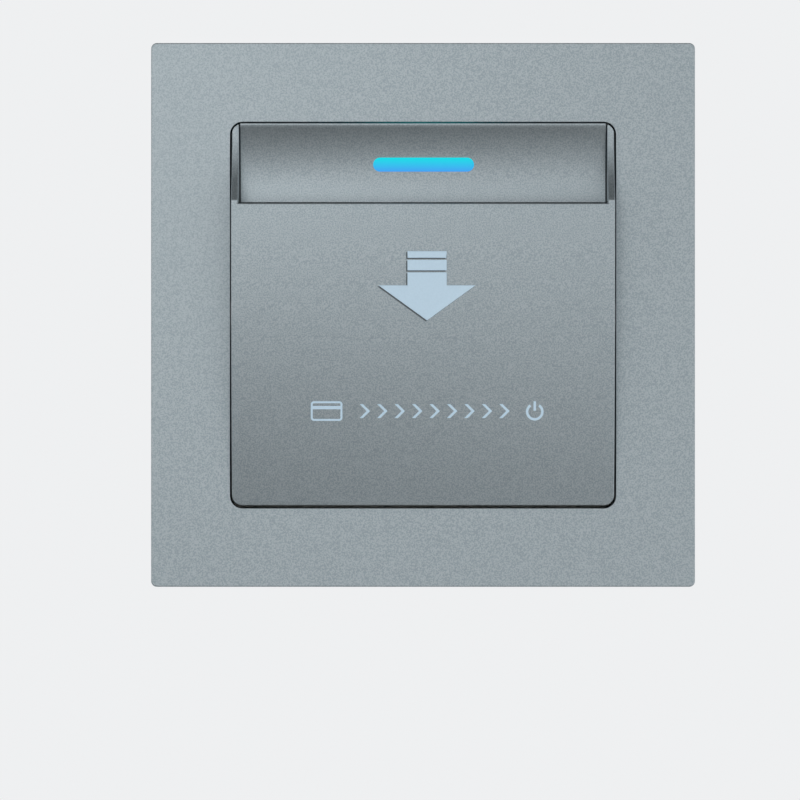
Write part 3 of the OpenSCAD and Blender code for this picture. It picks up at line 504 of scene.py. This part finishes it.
def mirrored(bm, *axes):
    """Copies everything to the other side, for each axis named."""
    for axis in axes:
        copy = bmesh.ops.duplicate(bm, geom=bm.verts[:] + bm.edges[:] + bm.faces[:])["geom"]
        turn = Vector((-1 if axis == "X" else 1, 1, -1 if axis == "Z" else 1))
        bmesh.ops.scale(bm, vec=turn, verts=points_in(copy))
        bmesh.ops.reverse_faces(bm, faces=[f for f in copy if isinstance(f, bmesh.types.BMFace)])


print("helpers ready: drawn_out, mirrored")

# %% [markdown]
# ## Behind the face plate
#
# Four bosses take the front screws, and four legs snap into the base plate. They could be modelled
# out of the plate's own faces; fusing plain solids to it is shorter, and nothing of it shows from
# the front.

# %% Helper: fuse a shape to a piece
def fused(made, bm, how="UNION"):
    """Adds the shape in bm to a piece, or cuts it away, and keeps the result as the piece's mesh."""
    bmesh.ops.recalc_face_normals(bm, faces=bm.faces)
    bmesh.ops.scale(bm, vec=(MM, MM, MM), verts=bm.verts)
    mesh = bpy.data.meshes.new("tool")
    bm.to_mesh(mesh)
    bm.free()
    tool = bpy.data.objects.new("tool", mesh)
    scene.collection.objects.link(tool)
    step = made.modifiers.new("fused", "BOOLEAN")
    step.object, step.operation, step.solver = tool, how, "EXACT"
    bpy.context.view_layer.update()
    whole = bpy.data.meshes.new_from_object(made.evaluated_get(bpy.context.evaluated_depsgraph_get()))
    made.modifiers.clear()
    made.data = whole
    whole.shade_smooth()
    whole.set_sharp_from_angle(angle=math.radians(SHARP))
    bpy.data.objects.remove(tool)
    print(made.name, how.lower(), "->", len(whole.polygons), "faces")
    return made


print("helper ready: fused")

# %% Helper: posts for the front screws
SCREW_X, SCREW_Z = 34.5, 18.0
BOSS_R, PILOT_R, CLEAR_R = 2.4, 1.15, 1.4


def screw_post(bm, radius, y0, y1):
    """A round post at one front screw, from y0 to y1."""
    along = Matrix.Translation((SCREW_X, (y0 + y1) / 2, SCREW_Z)) @ Matrix.Rotation(math.pi / 2, 4, "X")
    bmesh.ops.create_cone(bm, cap_ends=True, segments=32, radius1=radius, radius2=radius,
                          depth=y1 - y0, matrix=along)


def screw_holes(radius, y0, y1):
    """Four posts to cut the front screws' holes with."""
    bm = bmesh.new()
    screw_post(bm, radius, y0, y1)
    mirrored(bm, "X", "Z")
    return bm


print("front screws stand at", SCREW_X, "and", SCREW_Z, "mm from the middle")

# %% Add the bosses and the snap legs
ROOT = BACK - 0.2
LEG_X, LEG_W, LEG_TIP = 14, 8, -2.8
LEG_IN, LEG_OUT, RIDGE = 37.15, 38.55, 38.8
back = bmesh.new()
screw_post(back, BOSS_R, ROOT, -6.4)
leg = Pen(back, LEG_X, ROOT, LEG_OUT).line(-4.5, LEG_OUT).line(-4.0, RIDGE).line(-3.7, RIDGE)
leg = leg.line(LEG_TIP, LEG_IN + 1).line(LEG_TIP, LEG_IN).line(ROOT, LEG_IN).close()
drawn_out(back, leg, (LEG_W, 0, 0))
mirrored(back, "X", "Z")
fused(face_plate, back)
evened(fused(face_plate, screw_holes(PILOT_R, -9.4, -6), "DIFFERENCE"))

# %% [markdown]
# ## The pocket cover
#
# One moulding: the cover bows outwards from the plate's lower edge to the pocket's mouth, where it
# stands 5 mm proud, and its two sides run on upwards as cheeks that sweep back to the plate. It
# could be joined from sheets, which leaves seams to close. Here its side view is drawn out across
# the plate as one block, and a second side view, drawn out between the cheeks, hollows it. That
# leaves the cheeks, the cover's wall and a floor, with sharp inner corners.

# %% Draw the cover's side view
MODULE, BASE, CORNER, CHEEK = 30.2, 30.12, 1.6, 1.1
MOUTH, FOOT = 17.3, 18.0
PROUD, TRAY = -16.0, -5.0
BOW_R, SWEEP_R = 228.125, 17.384
bow_angle = math.degrees(math.asin((MOUTH + BASE) / BOW_R))
sweep_angle = math.degrees(math.asin((MODULE - FOOT) / SWEEP_R))

bm = bmesh.new()
side = Pen(bm, -MODULE, TRAY, MODULE).line(FRONT, MODULE)
side = side.arc(FRONT - SWEEP_R, MODULE, -sweep_angle, 16).line(PROUD, MOUTH)
side = side.arc(PROUD + BOW_R, MOUTH, bow_angle, 24).line(TRAY, -BASE).close()
drawn_out(bm, side, (2 * MODULE, 0, 0))
low_corners = [e for e in bm.edges if all(v.co.z < 0.01 - BASE for v in e.verts)
               and abs(e.verts[0].co.x - e.verts[1].co.x) < 0.01]
rounded(bm, low_corners, CORNER, 6, "EDGES")
cover_shell = piece("cover_shell", bm, finishes["face_grey"], "front", "pocket_cover")
print("cover bows through", round(bow_angle, 2), "degrees, cheeks sweep", round(sweep_angle, 2))

# %% [markdown]
# ## The pocket
#
# The pocket is open at the top, between the cheeks. Its mouth is chamfered inside, so that the card
# finds its way. An offset of the outer face could give the wall; the hollow's own side view gives
# the wall, the chamfer and the floor at once. In the photograph the dark line along the mouth is
# thin, so the lip stands a little higher than in the CAD model.

# %% Hollow it out
WALL, CHAMFER, COVER_EASE = 1.8, 0.9, 0.16
LIP = MOUTH + 0.17
LEAD = MOUTH - 2 * CHAMFER
FLOOR = -MODULE + WALL
turn = math.degrees(math.asin((MOUTH - FLOOR) / BOW_R) - math.asin((MOUTH - LEAD) / BOW_R))


def bow(z):
    """Depth of the cover's face at this height."""
    return PROUD + BOW_R - math.sqrt(BOW_R**2 - (MOUTH - z) ** 2)


bm = bmesh.new()
inner = Pen(bm, CHEEK - MODULE, TRAY + 1, MODULE + 1).line(PROUD - 1, MODULE + 1).line(PROUD - 1, LIP)
inner = inner.line(PROUD + WALL - CHAMFER / 2, LIP).line(bow(LEAD) + WALL, LEAD)
inner = inner.arc(PROUD + WALL + BOW_R, MOUTH, turn, 24).line(TRAY + 1, FLOOR)
drawn_out(bm, inner.close(), (2 * (MODULE - CHEEK), 0, 0))
eased(fused(cover_shell, bm, "DIFFERENCE"), COVER_EASE, 3)

# %% Round the cheeks' upper corners
AHEAD = PROUD - 1
start = MODULE - CORNER
bm = bmesh.new()
first = bm.verts.new((MODULE, AHEAD, start))
last = bmesh.ops.spin(bm, geom=[first], cent=(start, AHEAD, start), axis=(0, 1, 0), angle=-math.pi / 2,
                      steps=8)["geom_last"][0]
for x, z in ((start, MODULE + 1), (MODULE + 1, MODULE + 1), (MODULE + 1, start)):
    last = bmesh.ops.extrude_vert_indiv(bm, verts=[last])["verts"][0]
    last.co = (x, AHEAD, z)
bm.edges.new((last, first))
drawn_out(bm, bmesh.ops.edgeloop_fill(bm, edges=bm.edges[:])["faces"], (0, TRAY - PROUD + 2, 0))
mirrored(bm, "X")
fused(cover_shell, bm, "DIFFERENCE")

# %% Helper: ears for the front screws
EAR_R = 3.0


def screw_ears(inner_x, y0, y1):
    """Four ears that reach out to the front screws."""
    bm = bmesh.new()
    half = (SCREW_X + EAR_R - inner_x) / 2
    face = flat_face(bm, half, EAR_R, y0, 0, x=inner_x + half, z=SCREW_Z)[1]
    rounded(bm, [v for v in face.verts if v.co.x > SCREW_X], EAR_R - 0.01, 10, "VERTICES")
    drawn_out(bm, bm.faces[:], (0, y1 - y0, 0))
    mirrored(bm, "X", "Z")
    return bm


print("ears reach out to", SCREW_X + EAR_R, "mm")

# %% Add the cover's ears and the card's guide ribs
RIB_T, RIB_Y, RIB_TOP = 1.2, -7.7, -10.4
bm = screw_ears(MODULE - CHEEK / 2, -6.4, TRAY - 0.03)
for x in (-23, -11, 11, 23):
    rib = Pen(bm, x - RIB_T / 2, bow(FLOOR) + 1, FLOOR - 0.2).line(RIB_Y, FLOOR - 0.2).line(RIB_Y, RIB_TOP)
    drawn_out(bm, rib.line(bow(0) + 1, RIB_TOP + 2 * (RIB_Y - bow(0) - 1)).close(), (RIB_T, 0, 0))
fused(cover_shell, bm)
evened(fused(cover_shell, screw_holes(CLEAR_R, -7, -4.5), "DIFFERENCE"))

# %% [markdown]
# ## The finger recess
#
# A shallow hollow above the cover lets a finger reach the card. It is one bent sheet: a narrow land
# at the top, an arc of 28 mm radius, and behind the mouth a slope that leads back to the pocket's
# wall. It could be bent from a grid; its whole side view, drawn out across the window, gets its
# thickness at the same time. Walls at both ends carry the ears, and two openings go through it: one
# for the light bar, one for the lever that feels the card.

# %% Draw the recess
PANEL, SHEET, LAND, PANEL_EASE = 28.9, 1.4, 0.2, 0.05
RECESS_R, RECESS_D = 28.0, 1.75
RECESS_BACK = FRONT + RECESS_D
RECESS_Y = RECESS_BACK - RECESS_R
RECESS_Z = MODULE - LAND - math.sqrt(RECESS_R**2 - (RECESS_R - RECESS_D) ** 2)
POCKET = -6.0
THROAT, THROAT_LOW = 17.86, 14.95
TOP, LOW = MODULE + 0.08, FLOOR + 0.2
hollow = math.degrees(math.asin((MODULE - LAND - RECESS_Z) / RECESS_R))
behind = math.degrees(math.asin((TOP - RECESS_Z) / (RECESS_R + SHEET)))
rise = SHEET * math.tan(math.atan2(POCKET - RECESS_BACK, THROAT - THROAT_LOW) / 2)

bm = bmesh.new()
side = Pen(bm, -PANEL, FRONT, MODULE - LAND).arc(RECESS_Y, RECESS_Z, -hollow, 24)
side = side.line(RECESS_BACK, THROAT).line(POCKET, THROAT_LOW).line(POCKET, LOW)
side = side.line(POCKET + SHEET, LOW).line(POCKET + SHEET, THROAT_LOW + rise)
side = side.line(RECESS_BACK + SHEET, THROAT + rise).line(RECESS_BACK + SHEET, RECESS_Z)
side = side.arc(RECESS_Y, RECESS_Z, behind, 24).line(FRONT, TOP).close()
drawn_out(bm, side, (2 * PANEL, 0, 0))
recess_panel = eased(piece("recess_panel", bm, recess_grey, "front", "scoop_panel"), PANEL_EASE)
print("recess turns through", round(hollow, 2), "degrees")

# %% Add its end walls and ears
bm = bmesh.new()
wall = Pen(bm, PANEL - 0.02, RECESS_BACK + SHEET / 2, THROAT).line(POCKET + SHEET / 2, THROAT_LOW)
wall = wall.line(POCKET + SHEET - 0.01, THROAT_LOW).line(POCKET + SHEET - 0.01, LENS_Z)
drawn_out(bm, wall.line(RECESS_BACK + SHEET / 2, LENS_Z).close(), (-SHEET, 0, 0))
mirrored(bm, "X")
fused(recess_panel, bm)
fused(recess_panel, screw_ears(PANEL - SHEET, TRAY, TRAY + SHEET))

# %% Cut its openings
PLAY = 0.02
LEVER_W, LEVER_H, LEVER_Z = 5.8, 13.2, -17.58
bm = bmesh.new()
flat_face(bm, LENS_W / 2 + PLAY, LENS_H / 2 + PLAY, -12, LENS_H / 2 + PLAY - 0.001, 10, x=LENS_X, z=LENS_Z)
flat_face(bm, LEVER_W / 2, LEVER_H / 2, -7, 0.3, 4, z=LEVER_Z)
drawn_out(bm, bm.faces[:], (0, 10, 0))
fused(recess_panel, bm, "DIFFERENCE")
evened(fused(recess_panel, screw_holes(CLEAR_R, -6, -3), "DIFFERENCE"))

# %% [markdown]
# ## The light bar
#
# A bar with half-round ends, 16 mm long, whose face follows the hollow and stands a tenth of a
# millimetre out of it. It could be cut out of a turned ring. A flat stadium is simpler: it is cut
# into strips so that its face can bend with the recess, and drawn back through the panel to the
# lamps, with a flange behind the panel.

# %% Helper: cut a flat drawing into strips
def sliced(bm, levels):
    for z in levels:
        bmesh.ops.bisect_plane(bm, geom=bm.verts[:] + bm.edges[:] + bm.faces[:], plane_co=(0, 0, z),
                               plane_no=(0, 0, 1), dist=1e-5)


print("helper ready: sliced")

# %% Model the light bar
GUIDE_FRONT, GUIDE_END = -9.0, -2.6
FLANGE_W, FLANGE_H, FLANGE_T = 17.8, 4.15, 1.0
LENS_PROUD, LENS_EASE = 0.1, 0.06
bm = bmesh.new()
flat_face(bm, LENS_W / 2, LENS_H / 2, GUIDE_FRONT, LENS_H / 2 - 0.001, 10, x=LENS_X, z=LENS_Z)
sliced(bm, [LENS_Z + i * 0.3 for i in range(-3, 4)])
drawn_out(bm, bm.faces[:], (0, GUIDE_END - GUIDE_FRONT, 0))
for v in bm.verts:
    if v.co.y < GUIDE_FRONT + 1:
        v.co.y = RECESS_Y + math.sqrt((RECESS_R - LENS_PROUD) ** 2 - (v.co.z - RECESS_Z) ** 2)
light_bar = piece("light_bar", bm, finishes["indicator_blue"], "front", "indicator_lens")
flange = bmesh.new()
flat_face(flange, FLANGE_W / 2, FLANGE_H / 2, RECESS_BACK + SHEET + 0.1, FLANGE_H / 2 - 0.005, 10, z=LENS_Z)
drawn_out(flange, flange.faces[:], (0, FLANGE_T, 0))
evened(fused(eased(light_bar, LENS_EASE, angle=50), flange))

# %% [markdown]
# ## The arrow and the signs
#
# The arrow is a raised piece a quarter of a millimetre high: two bars, then a shaft with a broad
# head. Its shadow to the left and below is painted: the same drawing in dark grey, moved a little.
# Under it is a row of small printed signs: a card, chevrons that lead to the right, and the
# common power sign. A picture on the cover could show them all, but its edges would blur. They are
# drawn flat instead, cut into strips, and laid on the bowed cover.

# %% Helper: lay a flat drawing on the cover
STRIP, SUNK = 0.9, 0.2


def laid(name, bm, height_mm, look):
    heights = [v.co.z for v in bm.verts]
    levels = [min(heights) + STRIP]
    while levels[-1] < max(heights):
        levels.append(levels[-1] + STRIP)
    sliced(bm, levels)
    bmesh.ops.recalc_face_normals(bm, faces=bm.faces)
    drawn_out(bm, bm.faces[:], (0, 1, 0))
    for v in bm.verts:
        v.co.y = bow(v.co.z) + (SUNK if v.co.y > 0.5 else -height_mm)
    return piece(name, bm, look, "front", None)


def drawing(bm, *points):
    """A flat face from a few corners in the plate's front view."""
    bm.faces.new([bm.verts.new((x, 0, z)) for x, z in points])


print("drawings are laid in strips of", STRIP, "mm")

# %% Model the arrow
ARROW_X, SHAFT, HEAD = 0.63, 3.09, 7.65
BARS = ((9.96, 8.88), (8.57, 6.91))
SHAFT_TOP, BROW, TIP = 6.61, 4.58, -0.95
RAISED, ARROW_EASE = 0.24, 0.07
# How far the arrow's painted shadow is moved left and down, and how thin it is.
SHADOW_LEFT, SHADOW_DROP, SHADOW_RAISED = 0.20, 0.17, 0.03


def arrow_drawing(x, drop):
    bm = bmesh.new()
    for top, foot in BARS:
        flat_face(bm, SHAFT, (top - foot) / 2, 0, 0, x=x, z=(top + foot) / 2 - drop)
    top, brow, tip = SHAFT_TOP - drop, BROW - drop, TIP - drop
    drawing(bm, (x - SHAFT, top), (x - SHAFT, brow), (x - HEAD, brow), (x, tip), (x + HEAD, brow),
            (x + SHAFT, brow), (x + SHAFT, top))
    return bm


evened(eased(laid("arrow", arrow_drawing(ARROW_X, 0), RAISED, pale_print), ARROW_EASE, angle=50))
# The arrow's painted shadow: a dark grey copy of the arrow, moved a little down and to the left.
laid("arrow_painted_shadow", arrow_drawing(ARROW_X - SHADOW_LEFT, SHADOW_DROP), SHADOW_RAISED, painted_shadow)

# %% Draw the card and the chevrons
ROW, CARD_X, STROKE, PRINTED = -15.2, -15.2, 0.32, 0.05
CHEVRONS, FIRST_X, PITCH = 9, -10.0, 2.75
bm = bmesh.new()
face = flat_face(bm, 2.5, 1.55, 0, 0.5, 5, x=CARD_X, z=ROW)[1]
bmesh.ops.inset_region(bm, faces=[face], thickness=STROKE, use_boundary=True, use_even_offset=True)
bmesh.ops.delete(bm, geom=[face], context="FACES")
flat_face(bm, 2.2, 0.26, 0, 0, x=CARD_X, z=ROW + 0.55)
for i in range(CHEVRONS):
    x = FIRST_X + i * PITCH
    drawing(bm, (x, ROW + 1.1), (x + 0.55, ROW + 1.1), (x + 1.65, ROW), (x + 1.1, ROW))
    drawing(bm, (x + 1.1, ROW), (x + 1.65, ROW), (x + 0.55, ROW - 1.1), (x, ROW - 1.1))
print("drawn so far:", len(bm.faces), "faces")

# %% Draw the power sign and lay the row
POWER_X, POWER_Z = 17.6, ROW - 0.1
OPENING = 0.6
edge = [bm.verts.new((POWER_X + r * math.sin(OPENING), 0, POWER_Z + r * math.cos(OPENING)))
        for r in (1.0, 1.4)]
bmesh.ops.spin(bm, geom=[*edge, bm.edges.new(edge)], cent=(POWER_X, 0, POWER_Z), axis=(0, 1, 0),
               angle=2 * (math.pi - OPENING), steps=30)
flat_face(bm, 0.2, 0.75, 0, 0, x=POWER_X, z=ROW + 0.8)
bmesh.ops.remove_doubles(bm, verts=bm.verts, dist=1e-4)
laid("signs", bm, PRINTED, pale_print)

# %% [markdown]
# ## The return spring
#
# A small coil of steel wire pushes the lever's tail down. A curve with a round section could draw
# it. Here a ring of wire is spun round the spring's axis and raised a little with each step, close
# at both ends and open in between, which makes one closed mesh.

# %% Wind the spring
SPRING_Y, SPRING_Z = 7.8, 2.7
SPRING_R, WIRE_R = 1.5, 0.2
CLOSE_PITCH, OPEN_PITCH = 0.42, 1.24
TURN_STEPS = 32
bm = bmesh.new()
across = Matrix.Translation((SPRING_R, SPRING_Y, SPRING_Z)) @ Matrix.Rotation(math.pi / 2, 4, "X")
ring = bmesh.ops.create_circle(bm, cap_ends=False, segments=10, radius=WIRE_R, matrix=across)["verts"]
turning = first_end = [*ring, *{e for v in ring for e in v.link_edges}]
for turns, pitch in ((1, CLOSE_PITCH), (4.5, OPEN_PITCH), (1, CLOSE_PITCH)):
    steps = int(turns * TURN_STEPS)
    turning = bmesh.ops.spin(bm, geom=turning, cent=(0, SPRING_Y, 0), axis=(0, 0, 1),
                             dvec=(0, 0, pitch * turns / steps), angle=2 * math.pi * turns,
                             steps=steps)["geom_last"]
for end in (first_end, turning):
    bmesh.ops.edgeloop_fill(bm, edges=lines_in(end))
spring_coil = piece("spring_coil", bm, finishes["steel"], "base", "return_spring", sharp=60)
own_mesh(spring_coil)

# %% [markdown]
# ## The camera
#
# The photograph looks straight at the plate from about 0.8 m, with the plate above and right of the
# picture's middle. Both gaps beside the cover look equally wide, so the camera stands on the
# plate's middle line and a small shift frames it. Moving the camera aside could frame it too, but
# then one gap would look wider. A long lens gives the scale: 6.325 pixels for a millimetre at the
# plate's front.

# %% Place the camera
DISTANCE, PIXELS, PICTURE, SENSOR = 830.0, 6.325, 800, 36
RIGHT, ABOVE = 23.05, 85.1
lens = bpy.data.cameras.new("camera")
camera = bpy.data.objects.new("camera", lens)
scene.collection.objects.link(camera)
scene.camera = camera
lens.sensor_width = SENSOR
lens.lens = SENSOR * DISTANCE * PIXELS / PICTURE
lens.shift_x = -RIGHT / PICTURE
camera.location = Vector((0, FRONT - DISTANCE, -ABOVE / PIXELS)) * MM
camera.rotation_euler = (math.pi / 2, 0, 0)
print("lens:", round(lens.lens, 1), "mm at", [round(c, 4) for c in camera.location])

# %% [markdown]
# ## Floor and backdrop
#
# A pale floor lies under the switch, just below the picture, and fades out at its rim, so that it
# needs no edge and still takes the shadow. Behind everything the world is a pale grey where the
# camera or a reflection sees it, and an even white as a light. A large backdrop could do the same,
# but it would stand in the way of views from behind.

# %% Lay the floor
FLOOR_Y, FLOOR_Z, FLOOR_R = 0.01, -0.09, 0.105
FADE_FROM, FADE_TO = 0.055, 0.104
bm = bmesh.new()
bmesh.ops.create_circle(bm, cap_ends=True, segments=96, radius=FLOOR_R,
                        matrix=Matrix.Translation((0, FLOOR_Y, FLOOR_Z)))
ground = bpy.data.meshes.new("floor")
bm.to_mesh(ground)
bm.free()
floor = bpy.data.objects.new("floor", ground)
scene.collection.objects.link(floor)
lay = Paint(bpy.data.materials.new("floor_pale"))
where = lay.node("Mapping", {"Vector": lay.node("TexCoord", out="Object"),
                             "Location": (0, -FLOOR_Y, -FLOOR_Z)})
reach = lay.node("VectorMath", {0: where}, out="Value", operation="LENGTH")
fade = lay.node("MapRange", {"Value": reach, 1: FADE_FROM, 2: FADE_TO, 3: 1.0, 4: 0.0},
                interpolation_type="SMOOTHSTEP")
pale = lay.node("BsdfDiffuse", {"Color": (0.84, 0.85, 0.86, 1)})
faded = lay.node("MixShader", {0: fade, 1: lay.node("BsdfTransparent"), 2: pale})
lay.node("OutputMaterial", {"Surface": faded})
ground.materials.append(lay.owner)
print("floor lies", round(FLOOR_Z / MM), "mm from the middle")

# %% Light the world
studio = bpy.data.worlds.new("studio")
scene.world = studio
air = Paint(studio)
seen = air.node("LightPath", out="Is Camera Ray") + air.node("LightPath", out="Is Glossy Ray")
seen = seen + air.node("LightPath", out="Is Transmission Ray")
backdrop = air.mix(seen, (1.07, 1.07, 1.07), (0.86, 0.87, 0.88))
air.node("OutputWorld", {"Surface": air.node("Background", {"Color": backdrop, "Strength": 1.0})})
print("world:", studio.name)

# %% [markdown]
# ## Lamps and dark cards
#
# Metallic paint shows what stands opposite it. A soft lamp up and left of the camera makes the
# plate bright, most at its upper left corner; two faint lamps, low and at the right, keep the other
# corners from going dark. The cover's lower part leans down and the cheeks lean up, so they should
# find something darker there. One more dim lamp can't do that, so black cards stand below and above
# the camera's view, as a photographer would set them. Lamps and cards are hidden from the camera.

# %% Hang the lamps
def soft_lamp(name, place, side, watts):
    light = bpy.data.lights.new(name, "AREA")
    light.shape, light.size, light.size_y = "RECTANGLE", side, side
    light.energy = watts
    hung = bpy.data.objects.new(name, light)
    scene.collection.objects.link(hung)
    hung.location = place
    hung.visible_camera = False
    hung.rotation_euler = (-Vector(place)).to_track_quat("-Z", "Y").to_euler()
    print(name, watts, "W at", place)


soft_lamp("softbox", (-0.121, -0.477, 0.088), 0.15, 0.21)
soft_lamp("low_fill", (0.28, -0.92, -0.27), 0.30, 0.34)
soft_lamp("side_fill", (0.71, -0.70, 0), 0.30, 0.30)

# %% Stand the dark cards
black = Paint(bpy.data.materials.new("black_card")).surface(Base_Color=(0.02, 0.02, 0.02, 1), Roughness=0.9)


def dark_card(name, place, size):
    bm = bmesh.new()
    turn = (-Vector(place)).to_track_quat("Z", "Y").to_matrix().to_4x4()
    bmesh.ops.create_grid(bm, x_segments=1, y_segments=1, size=0.5,
                          matrix=Matrix.Translation(place) @ turn @ Matrix.Diagonal((*size, 1, 1)))
    sheet = bpy.data.meshes.new(name)
    bm.to_mesh(sheet)
    bm.free()
    sheet.materials.append(black)
    card = bpy.data.objects.new(name, sheet)
    card.visible_camera = False
    scene.collection.objects.link(card)
    print(name, size, "m at", place)


dark_card("card_below", (-0.25, -0.80, -0.72), (1.5, 1.1))
dark_card("card_above", (0, -0.35, 0.95), (1.8, 1.0))
